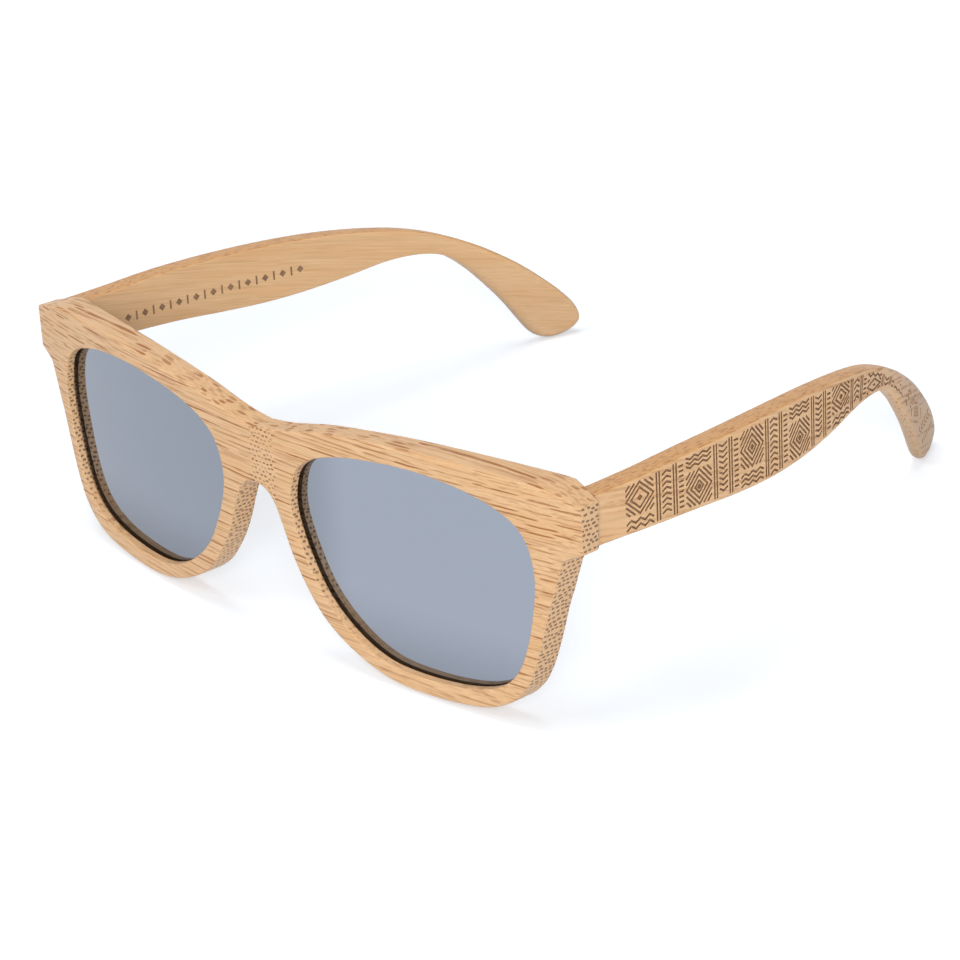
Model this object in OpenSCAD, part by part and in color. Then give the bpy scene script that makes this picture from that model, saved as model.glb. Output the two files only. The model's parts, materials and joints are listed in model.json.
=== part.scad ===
// Bamboo sunglasses with a one-piece bowed front and curved folding arms
// Spring hinges are let into the arms. Millimetres, +Z up, lying open on a table at Z = 0.
// The pieces are drawn in the front's own frame: x across, y back from the face, z up.
// stand() then leans the whole part back until the rims and the arm tips touch the table.

/* [Front] */
// Width of one lens opening
lens_w = 54; // [52:0.5:55]
// Height of one lens opening
lens_h = 37; // [34:0.5:38]
// Gap between the two lens openings
bridge_w = 18.8; // [17.5:0.1:20]
// Width of one ear, from the lens opening to its outer side
ear_w = 9.6; // [9:0.1:12]
// Thickness of the front at the bridge
front_t = 4.9; // [4.6:0.1:5.6]
// Radius of the bowed front face
face_r = 360; // [340:5:420]
// Radius of the brow's hollow back face, which thickens the front towards the ears
back_r = 275; // [268:1:290]
// Height of the brow at the bridge above the lens datum
brow_z = 16.4; // [15.6:0.1:17.2]
// Height of the nose notch above the lens datum
notch_z = 6; // [4:0.1:7]
// Height of the upper outer corner of an ear
ear_top = 19.5; // [19:0.1:20.4]
// Height of one ear's outer side
ear_h = 8.4; // [8:0.1:8.6]

/* [Lens] */
// Thickness of a lens
lens_t = 1.8; // [1.6:0.1:2]
// Depth of the lens behind the front face
lens_depth = 2; // [1.8:0.1:2.1]
// How far a lens reaches into its groove
lens_bite = 0.8; // [0.5:0.05:0.9]

/* [Arm] */
// Thickness of an arm
arm_t = 4.2; // [4.1:0.05:4.6]
// Step from the ear's side in to the arm's outer face
arm_inset = 1.4; // [1.2:0.1:1.8]
// Thickness of an arm at its tip
arm_tip_t = 3; // [2.6:0.1:4]
// Radius of the arm's outer face where it bends in
arm_bend_r = 222; // [210:1:250]
// Distance from the face to where the bend starts
arm_bend_y = 22; // [20:0.5:26]
// Reach of the arm tip behind the face
arm_reach = 120.5; // [115:0.5:127]
// Drop of the arm tip below the lens datum
tip_drop = 11.9; // [11:0.1:14]

/* [Hinge] */
// Height of the hinge centre above the lens datum
hinge_z = 15.2; // [15:0.05:15.4]
// Radius of the knuckles
knuckle_r = 1.3; // [1.2:0.02:1.36]
// Height of one knuckle
knuckle_h = 1.4; // [1.2:0.02:1.44]
// Radius of the pivot screw
pivot_r = 0.6; // [0.5:0.02:0.64]
// Lean of the joint between an ear and its arm, in degrees
mitre = 13; // [11:0.5:15]
// Travel of the sprung arm
flex = 1.2; // [0.8:0.05:1.4]
// Turns of the hinge spring
spring_turns = 7; // [5:1:9]

/* [Hidden] */
// Clearances
joint_gap = 0.2;
groove_gap = 0.1;
groove_front_gap = 0.5;
run_gap = 0.05;
knuckle_gap = 0.1;
glue_gap = 0.05;
pocket_gap = 0.3;
tiny = 0.02;
long = 400;

// Smoothness of curves and round faces
steps = 4;
$fn = 96;

// Lens datum and the sizes that the outlines below were drawn at
lens_x = bridge_w / 2 + lens_w / 2;
lens_z = -0.6;
drawn_lens = [54, 37];
ear_x = bridge_w / 2 + lens_w + ear_w;
rim_x = bridge_w / 2 + lens_w + 4.7;

// Lens opening about its own centre, from the inner top corner over the top and round
lens_points = [
    [-22.6, 13.8], [-18.4, 15.7], [-10.4, 17.5], [0.6, 18.5], [10.6, 18.1], [18.1, 16.6],
    [23.1, 14.4], [25.8, 11.2], [27, 5.6], [26.3, -0.9], [24.9, -6.9], [22.8, -11.8],
    [19.1, -15.3], [12.6, -17.5], [2.6, -18.5], [-6.4, -18], [-13.9, -15], [-20.1, -10.1],
    [-24.1, -4], [-26.6, 2.1], [-27, 6.6], [-25.5, 11.2]
];

// Under side of one half of the front, from the foot of the ear round to the nose notch,
// about the lens centre
rim_points = [
    [30.7, 3.6], [29.5, 0.1], [28.4, -3.9], [27.2, -7.9], [25.9, -11.5], [24.1, -14.8],
    [21.1, -17.7], [16.7, -19.8], [10.6, -20.9], [2.6, -21.4], [-4.4, -21.1], [-10.6, -19.6],
    [-16.3, -17.1], [-21, -13.9], [-24.9, -9.3], [-27.9, -4.3], [-30.1, 0.8]
];

// Side view of an arm as share of reach and height above the tip's lowest point
arm_top_points = [[0.29, 32.1], [0.46, 31.8], [0.6, 30.6], [0.72, 28.1], [0.81, 24],
    [0.89, 18.2], [0.95, 12.2]];
arm_tip_points = [[0.988, 7.2], [1, 3.6], [0.99, 1.5], [0.972, 0.4], [0.952, 0],
    [0.934, 0.5], [0.919, 1.9], [0.901, 5]];
arm_low_points = [[0.878, 9.2], [0.849, 13.6], [0.817, 17.9], [0.781, 21.3], [0.738, 22.8],
    [0.68, 22.9], [0.6, 21.5], [0.525, 20.6], [0.45, 20.4], [0.37, 20.9], [0.29, 21.7]];

// Smooth curve through points; a closed one runs round, an open one ends on its ends
function blend(a, b, c, d, t) = 0.5 * (2 * b + (c - a) * t + (2 * a - 5 * b + 4 * c - d) * t * t
    + (3 * b - a - 3 * c + d) * t * t * t);
function at(p, i) = p[(i + len(p)) % len(p)];
function end_at(p, i) = p[max(0, min(len(p) - 1, i))];
function loop_curve(p) = [for (i = [0 : len(p) - 1]) for (k = [0 : steps - 1])
    blend(at(p, i - 1), at(p, i), at(p, i + 1), at(p, i + 2), k / steps)];
function open_curve(p) = concat([for (i = [0 : len(p) - 2]) for (k = [0 : steps - 1])
    blend(end_at(p, i - 1), p[i], p[i + 1], end_at(p, i + 2), k / steps)], [p[len(p) - 1]]);

// Closed outline pushed outwards by d; the points run clockwise
function side(a, b) = [a.y - b.y, b.x - a.x] / norm(b - a);
function grow(p, d) = [for (i = [0 : len(p) - 1])
    let (n = side(at(p, i - 1), at(p, i)) + side(at(p, i), at(p, i + 1))) p[i] + d * n / norm(n)];

// Face of the front, the back of its brow and the back of its rims, at x from the middle
function face_y(x) = face_r - sqrt(face_r * face_r - x * x);
function back_y(x) = front_t + back_r - sqrt(back_r * back_r - x * x);
rim_r = face_r - front_t;
function rim_y(x) = face_r - sqrt(rim_r * rim_r - x * x);

// Outlines at the stated sizes
brow_slope_y = 2.4;
fit_lens = [lens_w / drawn_lens.x, lens_h / drawn_lens.y];
function about_lens(p) = [lens_x + p.x * fit_lens.x, lens_z + p.y * fit_lens.y];
lens_outline = [for (p = loop_curve(lens_points)) about_lens(p)];
brow_rise = lens_z + (lens_h / 2) + 3.9;
brow_half = open_curve([[0, brow_z], [ear_x * 0.07, brow_z + 0.6], [ear_x * 0.14, brow_z + 1.6],
    [ear_x * 0.22, brow_z + 2.8], [ear_x * 0.33, brow_rise - 1.6], [ear_x * 0.47, brow_rise - 0.7],
    [ear_x * 0.63, brow_rise - 0.3], [ear_x * 0.8, brow_rise - 0.4], [ear_x * 0.91, brow_rise - 0.9],
    [ear_x - 0.6, ear_top]]);
ear_foot = ear_top - ear_h;
ear_half = [[ear_x, ear_top - 0.6], [ear_x, ear_foot + 0.6], [ear_x - 0.5, ear_foot]];
foot_half = open_curve(concat([[ear_x - 0.9, ear_foot - 0.1], [rim_x + 1.4, ear_foot - 1.5],
    [rim_x + 0.5, ear_foot - 3.4]], [for (p = rim_points) about_lens(p)],
    [[bridge_w * 0.245, notch_z - 2.4], [bridge_w * 0.133, notch_z - 0.6], [0, notch_z]]));
right_half = concat(brow_half, ear_half, foot_half);
left_half = [for (i = [len(right_half) - 2 : -1 : 1]) [-right_half[i].x, right_half[i].y]];
front_outline = concat(right_half, left_half);

// Arm: outer and inner face, the butt joint and the side view
arm_x = ear_x - arm_inset;
arm_in_x = arm_x - arm_t;
butt_cut = 2.6;
butt_y = back_y(arm_x) - butt_cut;
bend_x = arm_x - arm_bend_r;
bend_len = arm_reach - arm_bend_y;
inner_drop = arm_bend_r - sqrt(pow(arm_bend_r, 2) - pow(bend_len, 2)) - arm_t + arm_tip_t;
inner_r = (pow(bend_len, 2) + pow(inner_drop, 2)) / (2 * inner_drop);
function arm_view(p) = [p.x * arm_reach, p.y - tip_drop];
arm_front = [[butt_y - 2, ear_top + 0.1], [butt_y + 10, ear_top + 0.3]];
arm_back = [[butt_y + 12, ear_foot - 0.7], [butt_y - 2, ear_foot]];
arm_outline = concat(open_curve(concat(arm_front, [for (p = arm_top_points) arm_view(p)],
    [for (p = arm_tip_points) arm_view(p)], [for (p = arm_low_points) arm_view(p)], arm_back)));

// Hinge: the pin's place, the leaf's seat on the hollow back and the parts let into the arm
pin_x = arm_in_x - 0.4;
pin_y = butt_y + (arm_x - pin_x) * tan(mitre) + 1.95;
leaf_x = arm_in_x - 2.6;
leaf_turn = asin(leaf_x / back_r);
leaf_w = 3.8;
leaf_h = 6.8;
leaf_t = 0.8;
pin_out = (pin_x - leaf_x) * cos(leaf_turn) + (pin_y - back_y(leaf_x)) * sin(leaf_turn);
pin_up = (pin_y - back_y(leaf_x)) * cos(leaf_turn) - (pin_x - leaf_x) * sin(leaf_turn);
leaf_screw_z = 2.75;
leaf_screw_r = 0.5;
leaf_screw_len = 3.6;
head_r = 0.95;
head_h = 0.45;
eye_h = 1.5;
knuckle_z = eye_h / 2 + knuckle_gap;
pivot_bore_r = pivot_r + run_gap;

rod_x = arm_in_x + arm_t / 2;
rod_r = 0.4;
shank = 1.3;
box_w = 2.4;
box_h = 3.4;
box_y = pin_y + 3.25;
box_len = 13.4;
guide_len = flex + 1.4;
web_t = 0.6;
coil_y = box_y + guide_len + web_t;
coil_len = 7.2;
coil_r = 0.68;
wire_r = 0.13;
chamber_r = 0.95;
nut_r = 0.8;
nut_h = 1.2;
slot_h = 2 * (knuckle_z + knuckle_h + pocket_gap);
slot_depth = pin_x + knuckle_r + 0.4 - arm_in_x;
slot_end = pin_y + knuckle_r + 0.5;

// Lean of the whole part: rims and tips touch the table together
function low_rim(a) = min([for (p = front_outline) p.y * cos(a) - rim_y(p.x) * sin(a)]);
function low_tip(a) = min([for (p = arm_outline) p.y * cos(a) - p.x * sin(a)]);
function settle(a, n) = n == 0 ? a : settle(a + (low_tip(a) - low_rim(a)) / arm_reach * 57, n - 1);
lean = settle(5, 12);
lift = -low_rim(lean);
near_y = min([for (p = front_outline) face_y(p.x) * cos(lean) + p.y * sin(lean)]);
far_y = max([for (p = arm_outline) p.x * cos(lean) + p.y * sin(lean)]);

// Colours
bamboo = [0.86, 0.67, 0.43];
mirror_grey = [0.6, 0.64, 0.69];
steel = [0.72, 0.73, 0.74];
dark_steel = [0.45, 0.46, 0.48];

// Helpers
module stand() {
    translate([0, -(near_y + far_y) / 2, lift])
        rotate([-lean, 0, 0])
            children();
}

// The right-hand piece as drawn, or its mirror image for the left
module handed(name) {
    stand()
        if (name == "left")
            mirror([1, 0, 0])
                children();
        else
            children();
}

// A flat outline in x and z, drawn out along y
module drawn_back(points, y0, y1) {
    translate([0, y1, 0])
        rotate([90, 0, 0])
            linear_extrude(y1 - y0)
                polygon(points);
}

// A flat outline in y and z, drawn out along x
module drawn_across(points, x0, x1) {
    translate([x0, 0, 0])
        rotate([90, 0, 90])
            linear_extrude(x1 - x0)
                polygon(points);
}

// Everything behind the face when it is moved back by y
module behind_face(y) {
    translate([0, face_r + y, -long / 2])
        cylinder(r = face_r, h = long, $fn = 360);
}

// Everything behind a hollow back of radius r
module behind_back(r) {
    translate([0, r + front_t, -long / 2])
        cylinder(r = r, h = long, $fn = 360);
}

// Everything under the slope that ends the thicker brow
module under_brow() {
    translate([-long / 2, brow_slope_y, 0])
        rotate([45, 0, 0])
            translate([0, -long / 2, -long])
                cube(long);
}

module lens_blank(bite, front_gap, back_gap) {
    difference() {
        intersection() {
            drawn_back(grow(lens_outline, bite), -1, 30);
            behind_face(lens_depth - front_gap);
        }
        behind_face(lens_depth + lens_t + back_gap);
    }
}

// The butt joint's plane: all that lies behind it, moved back by gap
module behind_butt(gap) {
    translate([arm_x, butt_y + gap, -long / 2])
        rotate([0, 0, -mitre])
            translate([-long / 2, 0, 0])
                cube(long);
}

module at_pin() {
    translate([pin_x, pin_y, hinge_z])
        children();
}

// Frame of the leaf's seat: x along the back face, y out of it
module at_leaf() {
    translate([leaf_x, back_y(leaf_x), hinge_z])
        rotate([0, 0, leaf_turn])
            children();
}

module block(x0, x1, y0, y1, z) {
    translate([x0, y0, -z])
        cube([x1 - x0, y1 - y0, 2 * z]);
}

module along_y(x, y0, y1, r) {
    translate([x, y0, hinge_z])
        rotate([-90, 0, 0])
            cylinder(r = r, h = y1 - y0, $fn = 48);
}

module leaf_screw_holes(r, depth) {
    for (z = [-leaf_screw_z, leaf_screw_z])
        translate([0, 0, z])
            rotate([90, 0, 0])
                cylinder(r = r, h = depth, $fn = 32);
}

// Sub-parts
module front_frame() {
    color(bamboo)
        stand()
            difference() {
                intersection() {
                    drawn_back(front_outline, -1, 30);
                    behind_face(0);
                }
                behind_back(back_r);
                intersection() {
                    behind_back(rim_r);
                    under_brow();
                }
                for (s = [0, 1])
                    mirror([s, 0, 0]) {
                        drawn_back(lens_outline, -2, 40);
                        lens_blank(lens_bite + groove_gap, groove_front_gap, groove_gap);
                        intersection() {
                            behind_butt(0);
                            block(arm_in_x - 0.6, ear_x + 10, 0, 40, 60);
                        }
                        at_leaf() {
                            block(-leaf_w / 2 - groove_gap, leaf_w / 2 + groove_gap,
                                -leaf_t - tiny, 5, leaf_h / 2 + groove_gap);
                            leaf_screw_holes(leaf_screw_r + tiny, leaf_screw_len + tiny);
                        }
                    }
            }
}

module lens(name) {
    color(mirror_grey)
        handed(name)
            lens_blank(lens_bite, 0, 0);
}

module arm(name) {
    color(bamboo)
        handed(name)
            difference() {
                intersection() {
                    union() {
                        block(arm_in_x, arm_x, 0, arm_bend_y, 60);
                        intersection() {
                            difference() {
                                translate([bend_x, arm_bend_y, -long / 2])
                                    cylinder(r = arm_bend_r, h = long, $fn = 720);
                                translate([arm_in_x - inner_r, arm_bend_y, -long])
                                    cylinder(r = inner_r, h = 2 * long, $fn = 720);
                            }
                            block(0, arm_x + 1, arm_bend_y, arm_reach + 20, 40);
                        }
                    }
                    drawn_across(arm_outline, 0, arm_x + 5);
                    behind_butt(joint_gap);
                }
                translate([0, 0, hinge_z]) {
                    block(arm_in_x - 5, arm_in_x + slot_depth, 0, slot_end, slot_h / 2);
                    block(arm_in_x - 5, rod_x + box_w / 2 - 0.3, 0, box_y - glue_gap,
                        eye_h / 2 + pocket_gap);
                    block(rod_x - box_w / 2 - glue_gap, rod_x + box_w / 2 + glue_gap,
                        box_y - glue_gap - tiny, box_y + box_len + glue_gap, box_h / 2 + glue_gap);
                }
            }
}

module hinge_leaf(name) {
    color(steel)
        handed(name)
            at_leaf()
                difference() {
                    union() {
                        block(-leaf_w / 2, leaf_w / 2, -leaf_t, 0, leaf_h / 2);
                        for (z = [knuckle_z, -knuckle_z - knuckle_h])
                            translate([0, 0, z])
                                linear_extrude(knuckle_h) {
                                    translate([pin_out, pin_up])
                                        circle(r = knuckle_r);
                                    polygon([[0.2, -leaf_t / 2], [leaf_w / 2 - 0.4, -leaf_t / 2],
                                        [leaf_w / 2 - 0.2, 0.15],
                                        [pin_out + knuckle_r * 0.79, pin_up - knuckle_r * 0.61],
                                        [pin_out - knuckle_r * 0.73, pin_up + knuckle_r * 0.68]]);
                                }
                    }
                    translate([pin_out, pin_up, -5])
                        cylinder(r = pivot_r + tiny, h = 10);
                    translate([pin_out, pin_up, knuckle_z + knuckle_h - head_h - tiny])
                        cylinder(r = head_r + tiny, h = 2);
                    for (z = [-leaf_screw_z, leaf_screw_z])
                        translate([0, tiny, z])
                            rotate([90, 0, 0])
                                cylinder(r1 = leaf_screw_r + 0.4 + tiny, r2 = leaf_screw_r + tiny,
                                    h = leaf_t / 2, $fn = 32);
                    leaf_screw_holes(leaf_screw_r + tiny, 3);
                }
}

module leaf_screws(name) {
    color(steel)
        handed(name)
            at_leaf()
                for (z = [-leaf_screw_z, leaf_screw_z])
                    translate([0, 0, z])
                        rotate([90, 0, 0])
                            difference() {
                                union() {
                                    cylinder(r = leaf_screw_r, h = leaf_screw_len, $fn = 32);
                                    cylinder(r1 = leaf_screw_r + 0.4, r2 = leaf_screw_r,
                                        h = leaf_t / 2, $fn = 32);
                                }
                                translate([-1, -0.1, -0.1])
                                    cube([2, 0.2, 0.3]);
                            }
}

module pivot_screw(name) {
    color(dark_steel)
        handed(name)
            at_pin()
                difference() {
                    union() {
                        translate([0, 0, -knuckle_z - knuckle_h])
                            cylinder(r = pivot_r, h = 2 * (knuckle_z + knuckle_h) - head_h);
                        translate([0, 0, knuckle_z + knuckle_h - head_h])
                            cylinder(r = head_r, h = head_h);
                    }
                    translate([-2, -0.13, knuckle_z + knuckle_h - 0.2])
                        cube([4, 0.26, 1]);
                }
}

// Eye on the pin, an arm across to the rod, a square shank and the rod itself
module slider(name) {
    color(steel)
        handed(name)
            union() {
                difference() {
                    at_pin()
                        translate([0, 0, -eye_h / 2])
                            linear_extrude(eye_h) {
                                circle(r = knuckle_r);
                                polygon([[0, knuckle_r], [knuckle_r * 0.92, -knuckle_r * 0.38],
                                    [rod_x - pin_x + shank / 2, 1.1],
                                    [rod_x - pin_x + shank / 2, 2.9],
                                    [rod_x - pin_x - shank / 2, 2.9]]);
                            }
                    at_pin()
                        translate([0, 0, -3])
                            cylinder(r = pivot_bore_r, h = 6);
                }
                translate([0, 0, hinge_z])
                    block(rod_x - shank / 2, rod_x + shank / 2, pin_y + 2.4,
                        box_y + guide_len - run_gap, shank / 2);
                along_y(rod_x, box_y + guide_len - 0.3, coil_y + coil_len + nut_h + 0.2, rod_r);
            }
}

module spring_box(name) {
    color(steel)
        handed(name)
            difference() {
                translate([0, 0, hinge_z])
                    block(rod_x - box_w / 2, rod_x + box_w / 2, box_y, box_y + box_len, box_h / 2);
                translate([0, 0, hinge_z])
                    block(rod_x - shank / 2 - run_gap, rod_x + shank / 2 + run_gap,
                        box_y - 1, box_y + guide_len, shank / 2 + run_gap);
                along_y(rod_x, box_y, box_y + box_len, rod_r + run_gap);
                along_y(rod_x, coil_y, box_y + box_len + 1, chamber_r);
            }
}

// Cut through the wound wire square to the rod: a bent oval that makes the wire round
wire_half = 360 * wire_r * spring_turns / (coil_len - 2 * tiny);
function wire_point(a, s) = (coil_r + s * wire_r * sqrt(1 - pow(a / wire_half, 2)))
    * [cos(a), sin(a)];
wire_cut = concat([for (k = [-3 : 3]) wire_point(wire_half * k / 3, 1)],
    [for (k = [2 : -1 : -2]) wire_point(wire_half * k / 3, -1)]);

// Wire wound about the rod, between the box's web and the nut
module coil_spring(name) {
    color(dark_steel)
        handed(name)
            translate([rod_x, coil_y + tiny, hinge_z])
                rotate([-90, 0, 0])
                    linear_extrude(coil_len - 2 * tiny, twist = 360 * spring_turns,
                        slices = 14 * spring_turns, $fn = 6)
                        polygon(wire_cut);
}

module spring_nut(name) {
    color(steel)
        handed(name)
            difference() {
                along_y(rod_x, coil_y + coil_len, coil_y + coil_len + nut_h, nut_r);
                along_y(rod_x, coil_y, coil_y + coil_len + nut_h + 1, rod_r + tiny);
            }
}

front_frame();
lens("left");  // lens_left
lens("right");  // lens_right
arm("left");  // arm_left
arm("right");  // arm_right
hinge_leaf("left");  // hinge_leaf_left
hinge_leaf("right");  // hinge_leaf_right
leaf_screws("left");  // leaf_screws_left
leaf_screws("right");  // leaf_screws_right
pivot_screw("left");  // pivot_screw_left
pivot_screw("right");  // pivot_screw_right
slider("left");  // slider_left
slider("right");  // slider_right
spring_box("left");  // spring_box_left
spring_box("right");  // spring_box_right
coil_spring("left");  // coil_spring_left
coil_spring("right");  // coil_spring_right
spring_nut("left");  // spring_nut_left
spring_nut("right");  // spring_nut_right
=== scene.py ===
"""Bamboo sunglasses: rounded wood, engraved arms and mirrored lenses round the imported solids."""

import json
import math

import bmesh
import bpy
import numpy as np
from mathutils import Matrix, Vector
from mathutils.geometry import delaunay_2d_cdt


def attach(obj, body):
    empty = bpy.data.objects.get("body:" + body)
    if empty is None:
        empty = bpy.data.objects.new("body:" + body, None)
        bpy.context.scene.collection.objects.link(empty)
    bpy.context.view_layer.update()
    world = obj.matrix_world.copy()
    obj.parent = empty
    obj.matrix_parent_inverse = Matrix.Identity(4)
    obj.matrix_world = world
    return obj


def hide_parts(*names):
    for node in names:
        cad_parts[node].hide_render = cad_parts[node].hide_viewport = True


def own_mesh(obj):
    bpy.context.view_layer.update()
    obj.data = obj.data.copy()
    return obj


bl_info = {
    "name": "Bamboo Sunglasses",
    "version": (1, 0, 0),
    "blender": (4, 5, 0),
    "location": "View3D > Sidebar > Sunglasses",
    "description": "Builds the bamboo front, the mirrored lenses and the engraved arms of folding sunglasses",
    "category": "Add Mesh",
}

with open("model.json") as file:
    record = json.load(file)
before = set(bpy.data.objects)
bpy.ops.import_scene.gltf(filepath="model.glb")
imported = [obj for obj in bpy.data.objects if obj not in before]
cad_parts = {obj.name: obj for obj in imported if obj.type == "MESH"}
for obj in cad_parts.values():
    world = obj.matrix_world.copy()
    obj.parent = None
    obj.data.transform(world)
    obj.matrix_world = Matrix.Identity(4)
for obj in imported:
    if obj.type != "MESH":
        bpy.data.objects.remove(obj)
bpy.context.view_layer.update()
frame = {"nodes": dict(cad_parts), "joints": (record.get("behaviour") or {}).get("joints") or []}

# The front's own frame in mm: x across, y back from the face, z up; the record's right pin gives its lean
MM = 1000
PIN = (67.0, 14.7966, 15.2)
RIGHT_PIN = next(j for j in frame["joints"] if j["name"] == "fold_right")
LEAN = math.atan2(RIGHT_PIN["axis"][1], RIGHT_PIN["axis"][2])
COS, SIN = math.cos(LEAN), math.sin(LEAN)
SHIFT = PIN[1] * COS + PIN[2] * SIN - RIGHT_PIN["pos_m"][1] * MM
LIFT = RIGHT_PIN["pos_m"][2] * MM + PIN[1] * SIN - PIN[2] * COS
ORIGIN_Y = SHIFT * COS + LIFT * SIN
SIDES = ((-1, "left"), (1, "right"))

# Sizes shared with the solids, in mm
LENS_X, LENS_Z = 36.4, -0.6
BRIDGE_W = 18.8
EAR_X, EAR_TOP, EAR_FOOT = 73.0, 19.5, 11.1
RIM_X = 68.1
BROW_Z, BROW_RISE, NOTCH_Z = 16.4, 21.8, 6.0
FRONT_T, FACE_R, BACK_R, RIM_R = 4.9, 360.0, 275.0, 355.1
BACK_STEP = (8.3, 10.9)
LENS_DEPTH, LENS_T, LENS_BITE = 2.0, 1.8, 0.8
GROOVE = (1.5, 3.9, 0.9)
ARM_X, ARM_IN_X = 71.6, 67.4
ARM_REACH, TIP_DROP = 120.5, 11.9
BEND_R, BEND_Y, INNER_R = 222.0, 22.0, 232.96
BUTT_Y, BUTT_GAP, BUTT_LAP = 11.7846, 0.2, 0.6
BUTT_END = BUTT_Y + BUTT_GAP
MITRE, MITRE_RUN = math.tan(math.radians(13)), 6
LEAF_X, LEAF_Y, LEAF_TURN = 64.8, 12.6436, math.radians(13.6291)
HINGE_Z = PIN[2]
SLOT_END, BOX_Y = 16.5966, 18.0466
ROD_X, COIL_Y, COIL_SPAN = 69.5, 21.2466, 7.2

# Hollows: from x, to x, from y, to y and half the height; the leaf's seat lies in its own turned frame
LEAF_SEAT = (-2.0, 2.0, -0.83, 3.0, 3.5)
KNUCKLE_SLOT = (ARM_IN_X - 5, ARM_IN_X + 1.3, 0, SLOT_END, 2.55)
SLIDER_WAY = (ARM_IN_X - 5, 70.4, 0, BOX_Y - 0.05, 1.05)
BOX_MORTISE = (68.25, 70.75, BOX_Y - 0.07, BOX_Y + 13.45, 1.75)

# Rounds of the front in mm, and the stretches across or up it on which they change
EAR_BACK_ROUND, EAR_BACK_FROM = 0.35, (61, 69)
EAR_FACE_ROUND, EAR_FACE_FROM = 0.15, (66, 71)
EAR_FOOT_ROUND, EAR_FOOT_FROM, EAR_FOOT_UNDER = 0.6, (68.5, 70), (11.5, 12.5)
OPENING_BACK_ROUND = 0.35

# Rounds of the arms in mm, and the stretches along them on which rounds and cuts change
BUTT_ROUND, BUTT_ROUND_RUN = 0.2, 2
TIP_ROUND, TIP_ROUND_FROM = 1.05, (86, 106)
WORN_FROM, WORN_SHARE = (84, 112), 0.7

# Spacing of the inner points and steps of the curves in the front, the lenses and the arms
FRONT_SPACING, LENS_SPACING, ARM_SPACING = 1.5, 2.2, 2.2
FRONT_STEPS, LENS_STEPS, ARM_STEPS = 8, 6, 6

# Outlines: steps from a named corner, some with shares of a width across
BROW_NEAR = [(0, 0), (0.07, 0.6), (0.14, 1.6), (0.22, 2.8)]
BROW_FAR = [(0.33, -1.6), (0.47, -0.7), (0.63, -0.3), (0.8, -0.4), (0.91, -0.9)]
EAR_HIGH = [(-0.6, 0), (-0.18, -0.18), (0, -0.6)]
EAR_LOW = [(0, 0.6), (-0.15, 0.15), (-0.5, 0), (-0.9, -0.1)]
EAR_ROOT = [(1.4, -1.5), (0.5, -3.4)]
NOTCH_POINTS = [(0.245, -2.4), (0.133, -0.6), (0, 0)]
LENS_POINTS = [
    (-22.6, 13.8), (-18.4, 15.7), (-10.4, 17.5), (0.6, 18.5), (10.6, 18.1), (18.1, 16.6),
    (23.1, 14.4), (25.8, 11.2), (27, 5.6), (26.3, -0.9), (24.9, -6.9), (22.8, -11.8),
    (19.1, -15.3), (12.6, -17.5), (2.6, -18.5), (-6.4, -18), (-13.9, -15), (-20.1, -10.1),
    (-24.1, -4), (-26.6, 2.1), (-27, 6.6), (-25.5, 11.2),
]
RIM_POINTS = [
    (30.7, 3.6), (29.5, 0.1), (28.4, -3.9), (27.2, -7.9), (25.9, -11.5), (24.1, -14.8),
    (21.1, -17.7), (16.7, -19.8), (10.6, -20.9), (2.6, -21.4), (-4.4, -21.1), (-10.6, -19.6),
    (-16.3, -17.1), (-21, -13.9), (-24.9, -9.3), (-27.9, -4.3), (-30.1, 0.8),
]
ARM_START, ARM_END = [(-2, 0.1), (10, 0.3)], [(12, -0.7), (-2, 0)]
ARM_TOP = [(0.29, 32.1), (0.46, 31.8), (0.6, 30.6), (0.72, 28.1), (0.81, 24), (0.89, 18.2), (0.95, 12.2)]
ARM_TIP = [
    (0.988, 7.2), (1, 3.6), (0.99, 1.5), (0.972, 0.4), (0.952, 0), (0.934, 0.5), (0.919, 1.9), (0.901, 5),
]
ARM_LOW = [
    (0.878, 9.2), (0.849, 13.6), (0.817, 17.9), (0.781, 21.3), (0.738, 22.8), (0.68, 22.9),
    (0.6, 21.5), (0.525, 20.6), (0.45, 20.4), (0.37, 20.9), (0.29, 21.7),
]


def row(x, y, z):
    """A place in the front's frame, in mm, as a place in the row frame, in metres."""
    return Vector((x, y * COS + z * SIN - SHIFT, -y * SIN + z * COS + LIFT)) / MM


# Curves

def blend(a, b, c, d, t):
    """The place at share t on the smooth curve from b to c."""
    return 0.5 * (2 * b + (c - a) * t + (2 * a - 5 * b + 4 * c - d) * t * t
                  + (3 * b - a - 3 * c + d) * t ** 3)


def loop_curve(points, steps):
    """A closed smooth curve through the points."""
    p = [Vector(q) for q in points]
    n = len(p)
    return [blend(p[i - 1], p[i], p[(i + 1) % n], p[(i + 2) % n], k / steps)
            for i in range(n) for k in range(steps)]


def open_curve(points, steps):
    """A smooth curve that starts and ends on the end points."""
    p = [Vector(q) for q in points]
    n = len(p) - 1
    return [blend(p[max(0, i - 1)], p[i], p[i + 1], p[min(n, i + 2)], k / steps)
            for i in range(n) for k in range(steps)] + [p[n]]


def ring_area(line):
    """Twice the signed area inside a closed line."""
    return sum(a.x * b.y - b.x * a.y for a, b in zip(line, line[1:] + line[:1]))


def mitre(before, after):
    """The step to the left at a corner that moves both its sides by one unit, two units long at most."""
    left = Vector((-before.y - after.y, before.x + after.x))
    left = left.normalized() if left.length > 1e-6 else Vector((-before.y, before.x))
    return left / max(0.5, left.dot(Vector((-after.y, after.x))))


def side_ways(line):
    """Mitred unit steps to the left of a closed line, one for each point."""
    runs = [(b - a).normalized() for a, b in zip(line, line[1:] + line[:1])]
    return [mitre(before, after) for before, after in zip(runs[-1:] + runs, runs)]


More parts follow.
